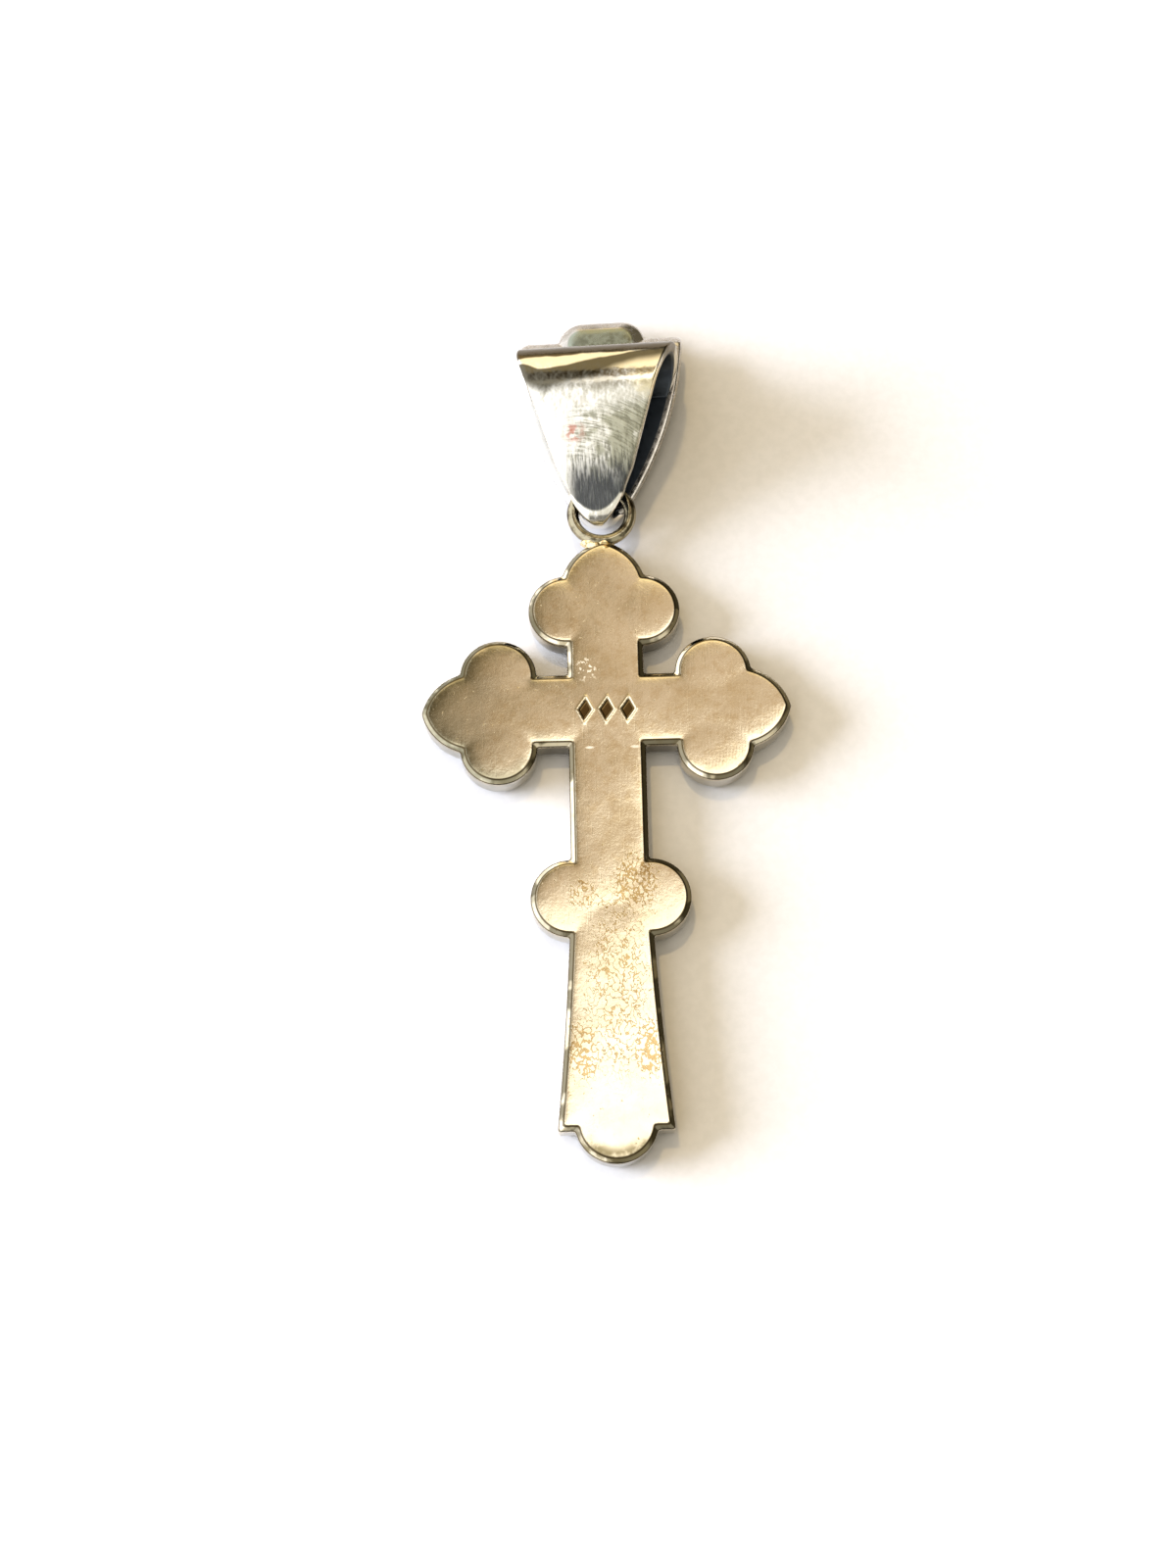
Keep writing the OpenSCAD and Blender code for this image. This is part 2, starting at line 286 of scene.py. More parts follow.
# %% Build a plate from its depth
def plate(name, depth, low, high, levels, spacing, filler, top, bottom, place, fine=None):
    """A closed plate. top and bottom give the height at (x, y, depth)."""
    rings = []
    for level in levels:
        for loop in level_loops(depth, level, low, high, 0.06):
            if len(loop) > 20:
                rings.append(evenly(depth, level, loop, spacing * (1 + level / 2)))
    rim = rings[0]
    xs, ys = np.meshgrid(np.arange(low[0], high[0], filler),
                         np.arange(low[1], high[1], filler * 0.87), indexing="ij")
    xs = xs + (np.arange(xs.shape[1]) % 2) * filler / 2
    grid = np.column_stack([xs.ravel(), ys.ravel()])
    grid = grid[depth(grid[:, 0], grid[:, 1]) > levels[-1] + 0.5 * filler]
    if fine:
        half_x, half_y, step = fine
        grid = grid[(abs(grid[:, 0]) > half_x + step) | (abs(grid[:, 1]) > half_y + step)]
        close = np.meshgrid(np.arange(-half_x, half_x, step), np.arange(-half_y, half_y, step))
        grid = np.vstack([grid, np.column_stack([c.ravel() for c in close])])
    flat = np.vstack(rings + [grid])
    edges, start = [], 0
    for ring in rings:
        count = len(ring)
        edges += [(start + k, start + (k + 1) % count) for k in range(count)]
        start += count
    made = delaunay_2d_cdt([Vector(p) for p in flat.tolist()], edges, [], 1, 1e-7)
    flat = np.array([list(v) for v in made[0]])
    where = {old: new for new, olds in enumerate(made[3]) for old in olds}
    rim_ids = [where[k] for k in range(len(rim))]
    x, y = flat.T
    d = np.maximum(depth(x, y), 0)
    d[rim_ids] = 0
    upper = np.column_stack([x, y, top(x, y, d)])
    lower = np.column_stack([x, y, bottom(x, y, d)])
    count = len(flat)
    faces = []
    for a, b, c in made[2]:
        (ax, ay), (bx, by), (cx, cy) = flat[a], flat[b], flat[c]
        if (bx - ax) * (cy - ay) - (by - ay) * (cx - ax) < 0:
            b, c = c, b
        faces += [(a, b, c), (count + a, count + c, count + b)]
    twice_area = sum(p[0] * q[1] - q[0] * p[1] for p, q in zip(rim, np.roll(rim, -1, axis=0)))
    if twice_area < 0:
        rim_ids = rim_ids[::-1]
    walls, rows = [upper, lower], [rim_ids]
    for share in (0.25, 0.5, 0.75):
        walls.append(upper[rim_ids] * (1 - share) + lower[rim_ids] * share)
        base = sum(len(w) for w in walls[:-1])
        rows.append(list(range(base, base + len(rim_ids))))
    rows.append([count + k for k in rim_ids])
    for above, below in zip(rows, rows[1:]):
        for k in range(len(rim_ids)):
            n = (k + 1) % len(rim_ids)
            faces.append((above[k], below[k], below[n], above[n]))
    piece = make_piece(name, place(np.vstack(walls)), faces)
    inside = np.concatenate([d, -d, np.zeros(3 * len(rim_ids))])
    note(piece, "flat", np.column_stack([np.vstack(walls)[:, :2], inside]))
    return piece


# %% [markdown]
# ## The cross
#
# The real cross is one casting: an upright and two arms, three lobed ends,
# two waist lobes and a flared leg with a foot lobe. Its depth is the largest
# of the depths of these simple shapes. A soft maximum rounds the inner
# corners a little, as casting and polishing do.

# %% Depth inside the cross's outline
def soft_max(a, b, soft):
    """The larger of two values, rounded off where they are nearly the same."""
    blend = np.maximum(soft - abs(a - b), 0) / soft
    return np.maximum(a, b) + blend**2 * soft / 4


def soft_min(a, b, soft):
    return -soft_max(-a, -b, soft)


corner = 0.16  # roundness of the inner corners
leg_end = foot_reach - foot_lobe_out
leg_len = leg_end - waist_drop
leg_widen = (leg_w_end - leg_w_top) / 2
leg_chord = math.hypot(leg_len, leg_widen)
leg_hollow_r = (leg_chord**2 / 4 + leg_hollow**2) / (2 * leg_hollow)
leg_mid_x = (leg_w_top + leg_w_end) / 4 + (leg_hollow_r - leg_hollow) * leg_len / leg_chord
leg_mid_y = -(waist_drop + leg_end) / 2 + (leg_hollow_r - leg_hollow) * leg_widen / leg_chord
tip_shift = (tip_lobe_len**2 - (tip_lobe_w / 2) ** 2) / tip_lobe_w


def cross_depth(x, y):
    """How far (x, y) lies inside the cross, with the crossing at (0, 0)."""
    right = abs(x)
    depth = soft_min(bar_w / 2 - right, y + waist_drop + 1, corner)
    depth = np.minimum(depth, head_reach - tip_lobe_len + 1 - y)
    arms = np.minimum(bar_w / 2 - abs(y), arm_reach - tip_lobe_len + 1 - right)
    depth = soft_max(depth, arms, corner)
    for along, across, reach in ((y, right, head_reach), (right, abs(y), arm_reach)):
        lobe = side_lobe_r - np.hypot(across - bar_w / 2, along - reach + side_lobe_inset)
        depth = soft_max(depth, lobe, corner)
        tip = tip_lobe_w / 2 + tip_shift - np.hypot(across + tip_shift, along - reach + tip_lobe_len)
        depth = soft_max(depth, tip, corner)
    waist = waist_lobe_r - np.hypot(right - leg_w_top / 2, y + waist_drop)
    depth = soft_max(depth, waist, corner)
    leg = np.hypot(right - leg_mid_x, y - leg_mid_y) - leg_hollow_r
    leg = soft_min(soft_min(leg, y + leg_end, corner), -waist_drop - y, corner)
    depth = soft_max(depth, leg, corner)
    foot = foot_lobe_r - np.hypot(x, y + foot_reach - foot_lobe_r)
    return soft_max(depth, foot, corner)


# %% [markdown]
# The edge is a bevel, 0.27 mm wide. On the front it is cut at 45 degrees, and
# on the back it was filed flatter. Both of its corners are worn round, and the
# back rounds off a little towards the edge. Hand polishing leaves it faintly
# wavy, which is what breaks up the reflections on real silver. Three plain
# lozenges are struck side by side in the middle of the back.

# %% Heights of the cross's two faces
def edge_drop(d, bevel, worn, rim):
    """How far the surface lies below the flat face at depth d."""
    to_bevel = bevel - d
    drop = (to_bevel + np.sqrt(to_bevel**2 + worn**2)) / 2
    inside = np.maximum(rim - d, 0)
    return drop + rim - np.sqrt(rim**2 - inside**2)


def polish_waves(x, y):
    return 0.004 * (np.sin(1.1 * x + 0.6 * y + 0.4) + np.sin(0.5 * x - 1.3 * y + 1.9)
                    + np.sin(1.7 * x + 1.2 * y + 3.1))


def punched(x, y):
    """Three small lozenges, punched side by side in the middle of the back."""
    sunk = np.zeros_like(x)
    for middle in (-1.22, 0.02, 1.24):
        inside = 0.5 - abs(x - middle - 0.1 * y) / 0.9 - abs(y) / 1.5
        raised_rim = 0.02 * np.exp(-((inside / 0.09) ** 2)) * (inside < 0)
        sunk = sunk + 0.11 * np.clip(inside / 0.14, 0, 1) - raised_rim
    return sunk


def cross_back(x, y, d):
    flat = cross_t - 0.012 + polish_waves(x, y) - punched(x, y)
    return flat - 0.62 * edge_drop(d, edge_bevel, 0.04, 0.04) - 0.055 * np.exp(-d / 0.6)


def cross_front(x, y, d):
    return edge_drop(d, edge_bevel, 0.07, 0.05)


cross_levels = [0, 0.012, 0.035, 0.07, 0.13, 0.19, 0.24, 0.29, 0.35, 0.45, 0.6, 0.85, 1.2]
cross_plate = plate(
    "cross_plate", cross_depth, (-11, -26.6), (11, 11), cross_levels, 0.13, 0.3,
    cross_back, cross_front, lambda p: p + [0, crossing_y, 0], fine=(1.9, 0.86, 0.06))
kept = np.zeros(3 * len(cross_plate.data.vertices))
cross_plate.data.attributes["flat"].data.foreach_get("vector", kept)
kept = kept.reshape(-1, 3)
note(cross_plate, "punch", punched(kept[:, 0], kept[:, 1])[:, None] * (kept[:, 2:] > 0) * [9, 0, 0])

# %% [markdown]
# ## The ring
#
# The ring is bent from round wire and soldered to the tip of the head. A wire
# that follows a path is what Geometry Nodes do best: a circle is the path, and
# a smaller circle is swept along it. The sizes are named inputs of the tree.

# %% Sweep the ring's wire
def tree_with(name, numbers):
    """A Geometry Nodes tree with named number inputs and a material input."""
    tree = bpy.data.node_groups.new(name, "GeometryNodeTree")
    for label in numbers:
        tree.interface.new_socket(label, in_out="INPUT", socket_type="NodeSocketFloat")
    tree.interface.new_socket("Finish", in_out="INPUT", socket_type="NodeSocketMaterial")
    tree.interface.new_socket("Geometry", in_out="OUTPUT", socket_type="NodeSocketGeometry")
    return tree, add(tree, "NodeGroupInput").outputs


def finish_tree(tree, geometry, material):
    """Ends a tree with plain geometry that carries its material."""
    real = add(tree, "GeometryNodeRealizeInstances", {"Geometry": geometry})
    dressed = add(tree, "GeometryNodeSetMaterial", {"Geometry": real, "Material": material})
    add(tree, "NodeGroupOutput", {"Geometry": dressed})


def grow(name, tree, values, place):
    """Runs a tree once and keeps its result as a plain mesh."""
    holder = bpy.data.objects.new(name, bpy.data.meshes.new(name))
    bpy.context.scene.collection.objects.link(holder)
    modifier = holder.modifiers.new("tree", "NODES")
    modifier.node_group = tree
    for item in tree.interface.items_tree:
        if item.in_out == "INPUT":
            modifier[item.identifier] = values[item.name]
    ready = holder.evaluated_get(bpy.context.evaluated_depsgraph_get())
    mesh = bpy.data.meshes.new_from_object(ready)
    holder.modifiers.clear()
    holder.data = mesh
    mesh.transform(Matrix.Translation(Vector(place) * MM))
    mesh.polygons.foreach_set("use_smooth", [True] * len(mesh.polygons))
    print(f"{name}: {len(mesh.vertices)} points, {len(mesh.polygons)} faces")
    return holder


polished_wire = bpy.data.materials.new("sterling_silver_wire_polished")

ring_tree, given = tree_with("ring_of_wire", ["Ring Radius", "Wire Radius"])
path = add(ring_tree, "GeometryNodeCurvePrimitiveCircle",
           {"Resolution": 128, "Radius": given["Ring Radius"]})
wire = add(ring_tree, "GeometryNodeCurvePrimitiveCircle",
           {"Resolution": 40, "Radius": given["Wire Radius"]})
swept = add(ring_tree, "GeometryNodeCurveToMesh", {"Curve": path, "Profile Curve": wire})
finish_tree(ring_tree, swept, given["Finish"])
ring = grow("ring", ring_tree, {
    "Ring Radius": ring_mid_r * MM, "Wire Radius": ring_wire / 2 * MM, "Finish": polished_wire,
}, (0, ring_y + crossing_y, ring_z))

# %% [markdown]
# ## The solder
#
# Silver solder runs into the corner between the ring and the tip and sets
# with a soft, slightly lumpy skin. Four flat balls that sink into each other
# make one lump, which runs further out on the left, as it did on the real one.

# %% Set the solder
def blob(centre, radii, waves, rows=24, columns=36):
    """Points and faces of a lumpy, closed ball."""
    points, faces = [(0, 0, -1)], []
    for i in range(1, rows):
        for j in range(columns):
            up, around = math.pi * (i / rows - 0.5), 2 * math.pi * j / columns
            out = math.cos(up)
            points.append((out * math.cos(around), out * math.sin(around), math.sin(up)))
    points.append((0, 0, 1))
    for j in range(columns):
        k = (j + 1) % columns
        faces.append((0, 1 + k, 1 + j))
        for i in range(rows - 2):
            a, b = 1 + i * columns, 1 + (i + 1) * columns
            faces.append((a + j, a + k, b + k, b + j))
        last = 1 + (rows - 2) * columns
        faces.append((last + j, last + k, len(points) - 1))
    unit = np.array(points)
    x, y, z = unit.T
    lump = 1 + waves * (np.sin(5 * x + 1) * np.cos(4 * y) + np.sin(6 * z + 3 * x))
    return unit * lump[:, None] * radii + centre, faces


# Each ball's middle, from the head's tip and the ring's height, and its radii
solder_balls = [
    ((0, -0.02, -0.14), (0.72, 0.5, 0.45)),
    ((-0.74, 0.0, -0.1), (0.55, 0.26, 0.36)),
    ((-0.45, -0.22, -0.08), (0.55, 0.34, 0.4)),
    ((0.12, -0.42, -0.08), (0.62, 0.34, 0.42)),
]
solder_points, solder_faces = [], []
for (x, y, z), radii in solder_balls:
    ball, faces = blob((x, y + head_reach + crossing_y, z + ring_z), radii, 0.05)
    solder_faces += [tuple(k + len(solder_points) for k in face) for face in faces]
    solder_points += ball.tolist()
solder = make_piece("solder", solder_points, solder_faces)

# %% [markdown]
# ## The bail's front plate
#
# The plate is the front of the bail: arched sides, square shoulders and a
# lobe on its top edge. The back of its top edge slopes off. Below the fold its
# back is the front wall of the hollow that the chain runs through.

# %% Depth inside the bail's front plate
crest_x = crest_w / 2 - crest_r
crest_y = shoulder_y + crest_h - crest_r
plate_low = -0.3  # the plate runs a little way into the lower roll


def crest_depth(x, y):
    return crest_r - np.hypot(np.maximum(abs(x) - crest_x, 0), y - crest_y)


def top_edge_depth(x, y):
    return soft_max(shoulder_y - y, crest_depth(x, y), 0.12)


def bail_plate_depth(x, y):
    side = side_r - np.hypot(abs(x) + side_x, y - shoulder_y)
    body = soft_min(soft_min(side, shoulder_y - y, 0.5), y - plate_low, 0.1)
    return soft_max(body, crest_depth(x, y), 0.12)


# %% Heights of the bail's front plate
def tangent_z(y, low, low_r, high, high_r):
    """Height of the lower line that touches two circles, given as (y, z)."""
    run, rise = high[0] - low[0], high[1] - low[1]
    lean = math.atan2(rise, run) - math.asin((high_r - low_r) / math.hypot(run, rise))
    start = (low[0] + low_r * math.sin(lean), low[1] - low_r * math.cos(lean))
    return start[1] + (y - start[0]) * math.tan(lean)


def bail_plate_back(x, y, d):
    hollow = tangent_z(y, (0, hole_low_z), hole_low_r, (loop_len, hole_top_z), hole_top_r)
    back = np.minimum(hollow, plate_t)
    slope = slope_drop * (1 - top_edge_depth(x, y) / slope_run)
    back = back - (slope + np.sqrt(slope**2 + 0.05**2)) / 2 + 0.0025
    roll = np.where(y < 0, 0.05 * (1 - np.exp(y / 0.1)), 0)
    return back - edge_drop(d, 0.08, 0.05, 0.04) - roll


def bail_plate_front(x, y, d):
    past = np.minimum(y, 0)
    roll = roll_r - np.sqrt(roll_r**2 - past**2) + 0.02 * (1 - np.exp(past / 0.1))
    return edge_drop(d, plate_bevel, 0.05, 0.03) + roll


bail_plate = plate(
    "bail_plate", bail_plate_depth, (-5.4, -0.6), (5.4, 12.8),
    [0, 0.01, 0.03, 0.06, 0.1, 0.15, 0.2, 0.28, 0.4, 0.55, 0.7, 0.85], 0.07, 0.25,
    bail_plate_back, bail_plate_front, lie)

# %% [markdown]
# ## The bail's strip
#
# One strip of silver is rolled at the bottom, rises as the back leaf and
# folds over to the plate, where it is soldered on. Seen from the side it runs
# between two teardrops. Each cross section is a thin rectangle with worn
# corners, and its width follows the taper and narrows to the neck inside the
# ring.

# %% Path of the strip, seen from the side
def arc(centre, radius, start, end, count):
    angles = np.linspace(start, end, count)
    return np.add(centre, radius * np.column_stack([np.cos(angles), np.sin(angles)]))


def side_path(low, low_r, high, high_r, last):
    """Round the lower roll, up the back leaf and over the fold, as (y, z)."""
    run = np.subtract(high, low)
    opening = math.atan2(run[1], run[0]) + math.asin((high_r - low_r) / math.hypot(*run)) + math.pi / 2
    roll = arc(low, low_r, 1.5 * math.pi, opening, 40)
    fold = arc(high, high_r, opening, last, 80)
    leaf = np.linspace(roll[-1], fold[0], 42)[1:-1]
    return np.vstack([roll, leaf, fold])


bury = 0.4  # the strip's last edge lies this far below the plate's back
outside = side_path((0, roll_r), roll_r, (loop_len, fold_r), fold_r,
                    math.asin((plate_t - bury - fold_r) / fold_r))
inside = side_path((0, hole_low_z), hole_low_r, (loop_len, hole_top_z), hole_top_r,
                   math.radians(-80))
# The fold is flatter than a round rod on top, and turns down more sharply
# behind. The roll bulges a little towards the ring
on_fold = np.arctan2(outside[:, 0] - loop_len, outside[:, 1] - fold_r)
flatter = np.where((on_fold > 0) & (on_fold < math.pi / 2), 0.025 * np.sin(2 * on_fold) ** 2, 0)
outside = outside + (outside - [loop_len, fold_r]) * flatter[:, None]
outside[:, 0] *= np.where(outside[:, 0] < 0, 1.2, 1)
# Both ends run on into the plate, where the solder holds them
outside = np.vstack([[0.3, 0.04], outside, outside[-1] + [-0.3, -0.05]])
inside = np.vstack([[0.3, leaf_t_low - 0.08], inside, inside[-1] - [0.05, bury]])

# %% Widths of the strip
crown_y = loop_len + fold_r
taper = (bail_w_top - bail_w_low) / 2 / crown_y


def worn_end(y):
    return np.clip((y - crown_y + 1.7) / 1.7, 0, 1) ** 2


def strip_half_width(y, z):
    # The leaf ends like a tongue, and the fold's two corners are worn off
    tongue = np.clip((0.3 - y) / 1.85, 0, 0.97)
    straight = (bail_w_low / 2 - 0.15 * np.clip(1.6 - y, 0, 1) + taper * y) * np.sqrt(1 - tongue**2)
    straight = straight - 0.25 * worn_end(y)
    round_cut = np.sqrt(np.maximum(neck_cut_r**2 - (z - hole_low_z) ** 2, 0))
    neck = np.minimum(straight, neck_w / 2 + neck_cut_r - round_cut)
    in_neck = np.clip((0.05 - y) / 0.2, 0, 1)
    in_neck = in_neck**2 * (3 - 2 * in_neck)
    return straight * (1 - in_neck) + neck * in_neck


# %% Sweep the strip
strip_corner = 0.14  # worn radius of the strip's long edges
quarter = np.linspace(0, math.pi / 2, 6)
face_u = np.sin(np.linspace(-math.pi / 2, math.pi / 2, 33))
# One turn round the section: share of the half width, steps of the corner's
# radius outwards, share of the thickness, steps of the radius inwards
section = (
    [(u, 0, 0, 0) for u in face_u]
    + [(1, math.sin(q), 0, 1 - math.cos(q)) for q in quarter[1:]]
    + [(1, math.cos(q), 1, math.sin(q) - 1) for q in quarter]
    + [(-u, 0, 1, 0) for u in face_u[1:]]
    + [(-1, -math.sin(q), 1, math.cos(q) - 1) for q in quarter[1:]]
    + [(-1, -math.cos(q), 0, 1 - math.sin(q)) for q in quarter[:-1]]
)
share_u, out_steps, share_t, in_steps = (np.array(c) for c in zip(*section))

along = np.concatenate([[0], np.cumsum(np.hypot(*np.diff(outside, axis=0).T))])
leaf_start, leaf_end = along[41], along[82]
strip_points, sheet = [], []
for here, (yo, zo), (yi, zi) in zip(along, outside, inside):
    thick = math.hypot(yo - yi, zo - zi)
    down = share_t * thick + in_steps * strip_corner
    y, z = yo + (yi - yo) * down / thick, zo + (zi - zo) * down / thick
    half = strip_half_width(y, z)
    x = share_u * (half - strip_corner) + out_steps * strip_corner + 0.2 * worn_end(y)
    outer = share_t == 0
    worn = 0.02 * np.exp(-(half - abs(x)) / 0.35) * outer
    # The hammered leaf is a little domed, along its length and across
    on_leaf = np.clip((here - leaf_start) / (leaf_end - leaf_start), 0, 1)
    dome = math.sin(math.pi * on_leaf) ** 2 * (0.11 * (x / 3) ** 2 - 0.11)
    dome = dome - 0.13 * math.sin(math.pi * on_leaf**0.6) * math.sin(math.pi * on_leaf)
    shift = worn + dome * outer
    y, z = y + (yi - yo) / thick * shift, z + (zi - zo) / thick * shift
    strip_points.append(np.column_stack([x, y, z]))
    sheet.append(np.column_stack([x, np.full(len(x), here - leaf_start), share_t]))

turn_len, stations = len(section), len(strip_points)
strip_faces = [
    (i * turn_len + j, i * turn_len + (j + 1) % turn_len,
     (i + 1) * turn_len + (j + 1) % turn_len, (i + 1) * turn_len + j)
    for i in range(stations - 1) for j in range(turn_len)
]
strip_faces += [tuple(range(turn_len))[::-1],
                tuple(range((stations - 1) * turn_len, stations * turn_len))]
bail_strip = make_piece("bail_strip", lie(np.vstack(strip_points)), strip_faces)
note(bail_strip, "sheet", np.vstack(sheet))
print(f"leaf {leaf_end - leaf_start:.2f} mm, whole strip {along[-1]:.2f} mm")

# %% [markdown]
# Sweeps and rings of faces can come out with their faces turned inwards, so
# every closed piece has its normals set outwards before it is dressed.

# %% Turn all faces outwards
import bmesh

for piece in (cross_plate, ring, solder, bail_plate, bail_strip):
    work = bmesh.new()
    work.from_mesh(piece.data)
    bmesh.ops.recalc_face_normals(work, faces=work.faces)
    open_edges = sum(1 for e in work.edges if len(e.link_faces) != 2)
    print(f"{piece.name}: volume {work.calc_volume() / MM**3:.1f} mm3, open edges {open_edges}")
    work.to_mesh(piece.data)
    work.free()

# %% [markdown]
# ## Steps that every finish shares
#
# Silver is a mirror. What the eye reads as "silver" is how its surface breaks
# that mirror: fine hairlines, a haze, brown tarnish in what the cloth misses.
# So every finish is built in the same way. Coats of colour are laid over each
# other, each through a soft mask, and a relief bends the reflections. A scale
# is written as one over the size of the pattern in millimetres.

# %% Start and end a finish
def new_finish(name):
    """An empty material and its tree."""
    material = bpy.data.materials.get(name) or bpy.data.materials.new(name)
    material.use_nodes = True
    material.node_tree.nodes.clear()
    return material, material.node_tree


def in_mm(tree):
    """The place on the object in millimetres."""
    place = add(tree, "ShaderNodeTexCoord").outputs["Object"]
    return add(tree, "ShaderNodeVectorMath", {0: place, "Scale": 1 / MM}, operation="SCALE")


def end_finish(material, base, rough, normal):
    tree = material.node_tree
    metal = add(tree, "ShaderNodeBsdfPrincipled",
                {"Base Color": base, "Roughness": rough, "Normal": normal, "Metallic": 1.0})
    add(tree, "ShaderNodeOutputMaterial", {"Surface": metal})
    print(f"{material.name}: {len(tree.nodes)} nodes")


# %% Add up values and make masks
def total(tree, start, *terms):
    """start, plus each value times its weight."""
    for value, weight in terms:
        start = add(tree, "ShaderNodeMath", {0: value, 1: weight, 2: start}, operation="MULTIPLY_ADD")
    return start


def fade(tree, *parts, low=0.0, high=1.0):
    """From low to high, with high only where every part is at its end.

    A part is a ready mask, or a value with its start and its end.
    """
    mask = high - low
    for part in parts:
        if isinstance(part, tuple):
            value, start, end = part
            part = add(tree, "ShaderNodeMapRange", {"Value": value, "From Min": start, "From Max": end},
                       interpolation_type="SMOOTHSTEP")
        mask = part if mask == 1.0 else add(tree, "ShaderNodeMath", {0: part, 1: mask}, operation="MULTIPLY")
    return total(tree, low, (mask, 1.0)) if low else mask


def oval(tree, at, x, y, wide, tall):
    """The distance from (x, y), which is 1 all along an oval round it."""
    off = add(tree, "ShaderNodeMapping", {
        "Vector": at, "Location": (-x / wide, -y / tall, 0), "Scale": (1 / wide, 1 / tall, 0)})
    return add(tree, "ShaderNodeVectorMath", {0: off}, operation="LENGTH")


def spots(tree, at, *places):
    """A mask of soft ovals, each with its place, half sizes and strength."""
    found = 0.0
    for x, y, wide, tall, most in places:
        spot = fade(tree, (oval(tree, at, x, y, wide, tall), 1.0, 0.25), high=most)
        found = add(tree, "ShaderNodeMath", {0: found, 1: spot}, operation="MAXIMUM")
    return found


# %% Lay coats and raise a relief
def lay(tree, base, *coats):
    """The base colour with each coat, a mask and a colour, laid over it in turn."""
    for mask, tint in coats:
        base = add(tree, "ShaderNodeMix", {0: mask, 6: base, 7: tint}, data_type="RGBA")
    return base


def relief(tree, *layers):
    """A normal bent by each layer in turn, a height from 0 to 1 and its depth in millimetres."""
    bent = {}
    for height, depth in layers:
        bump = add(tree, "ShaderNodeBump",
                   {"Height": height, "Strength": 1.0, "Distance": depth * MM, **bent})
        bent = {"Normal": bump}
    return bump


# %% [markdown]
# ## Sterling silver, cast and polished
#
# The cross was cast, filed and polished by hand, and then worn. Fine crossed
# hairlines spread its reflections, so the back is a soft sheen and not a
# mirror. Its colour starts as a warm silver with faint clouds 2 mm wide and a
# finer mottle, and it turns darker and greyer towards the left end.

# %% The cross's ground colour
cast_silver, tree = new_finish("sterling_silver_cast_polished")
mm = in_mm(tree)
flat_at = add(tree, "ShaderNodeAttribute", attribute_name="flat").outputs["Vector"]
flat = add(tree, "ShaderNodeSeparateXYZ", {"Vector": flat_at}).outputs

clouds = add(tree, "ShaderNodeTexNoise", {"Vector": mm, "Scale": 1 / 2.22, "Detail": 4})
mottle = add(tree, "ShaderNodeTexNoise", {"Vector": mm, "Scale": 1 / 0.526, "Detail": 5, "Roughness": 0.7})
above_leg = fade(tree, (flat["Y"], -12.0, -9.0), low=0.3)
leftwards = total(tree, flat["X"], (clouds, 5.0))
base = lay(
    tree, colour("#EEE2C8"),
    (fade(tree, (clouds, 0.4, 0.75), high=0.5), colour("#D8C6A0")),
    (fade(tree, (mottle, 0.45, 0.68), above_leg, high=0.4), colour("#CDB384")),
    (fade(tree, (leftwards, -1.5, -7.5)), colour("#B9B199")),
)
print("ground colour:", len(tree.nodes), "nodes")

# %% [markdown]
# Gas in the casting left shallow pits on the waist and the leg, about 0.5 mm
# apart and golden brown with old polish. Dots from a Voronoi pattern, shaken
# by noise, join into short worms where the noise is near its middle. They only
# come out where a flock of pits lies.

# %% The cross's pits
flocks = [
    (1.4, -10.4, 1.9, 2.6, 1.0), (-1.6, -10.9, 1.4, 1.4, 0.7), (0.2, -15.8, 2.6, 8.0, 0.56),
    (-1.7, -19.8, 1.4, 2.6, 0.95), (1.9, -19.8, 1.2, 2.4, 0.95),
]
flock = spots(tree, flat_at, *flocks)
upright = add(tree, "ShaderNodeMapping", {"Vector": mm, "Scale": (1.15, 0.85, 1)})
shake = add(tree, "ShaderNodeTexNoise", {"Vector": upright, "Scale": 1 / 0.333, "Detail": 2})
shaken = add(tree, "ShaderNodeVectorMath", {0: shake.outputs["Color"], 1: (0.9, 0.9, 0.9), 2: upright},
             operation="MULTIPLY_ADD")
dots = add(tree, "ShaderNodeTexVoronoi", {"Vector": shaken, "Scale": 1 / 0.476}).outputs["Distance"]
worms = add(tree, "ShaderNodeTexNoise", {"Vector": upright, "Scale": 1 / 0.417, "Detail": 2})
worms = add(tree, "ShaderNodeMath", {0: total(tree, -1.6, (worms, 3.2))}, operation="ABSOLUTE")
pits = add(tree, "ShaderNodeMath", {0: total(tree, -0.12, (dots, 1.0)), 1: worms}, operation="MINIMUM")
pits = fade(tree, (total(tree, pits, (flock, -0.19)), 0.0, -0.06), (flat["Z"], 0.05, 0.3))
print("flocks of pits:", len(flocks))

# %% [markdown]
# Tarnish stays where the polishing cloth misses: in stretches of the bevel,
# along the end of the foot, on the sides and in the punched lozenges. Thin
# dark lines run along both corner lines of the bevel. In the inner corners
# the sides are painted nearly black, as painted shade. Near the middle a few
# light scuffs show where another thing rubbed on the back.

# %% The cross's tarnish, scuffs and painted shade
skin = add(tree, "ShaderNodeTexNoise", {"Vector": mm, "Scale": 1 / 1.25, "Detail": 4})
stretches = add(tree, "ShaderNodeTexNoise", {"Vector": mm, "Scale": 1 / 2.38, "Detail": 3})
smears = add(tree, "ShaderNodeTexNoise", {"Vector": mm, "Scale": 1 / 0.526, "Detail": 4})
sides = fade(tree, (flat["Z"], 0.03, -0.02))
# Painted shade: the sides in the four inner corners are painted nearly black.
inner_corner_shade = spots(tree, flat_at, *((x, y, 1.5, tall, 0.9) for x, y, tall in (
    (-2.7, 3.9, 1.1), (2.7, 3.9, 1.1), (-2.9, -2.3, 0.9), (2.9, -2.3, 0.9))))
punch = add(tree, "ShaderNodeAttribute", attribute_name="punch").outputs["Vector"]
punch = add(tree, "ShaderNodeSeparateXYZ", {"Vector": punch}).outputs["X"]
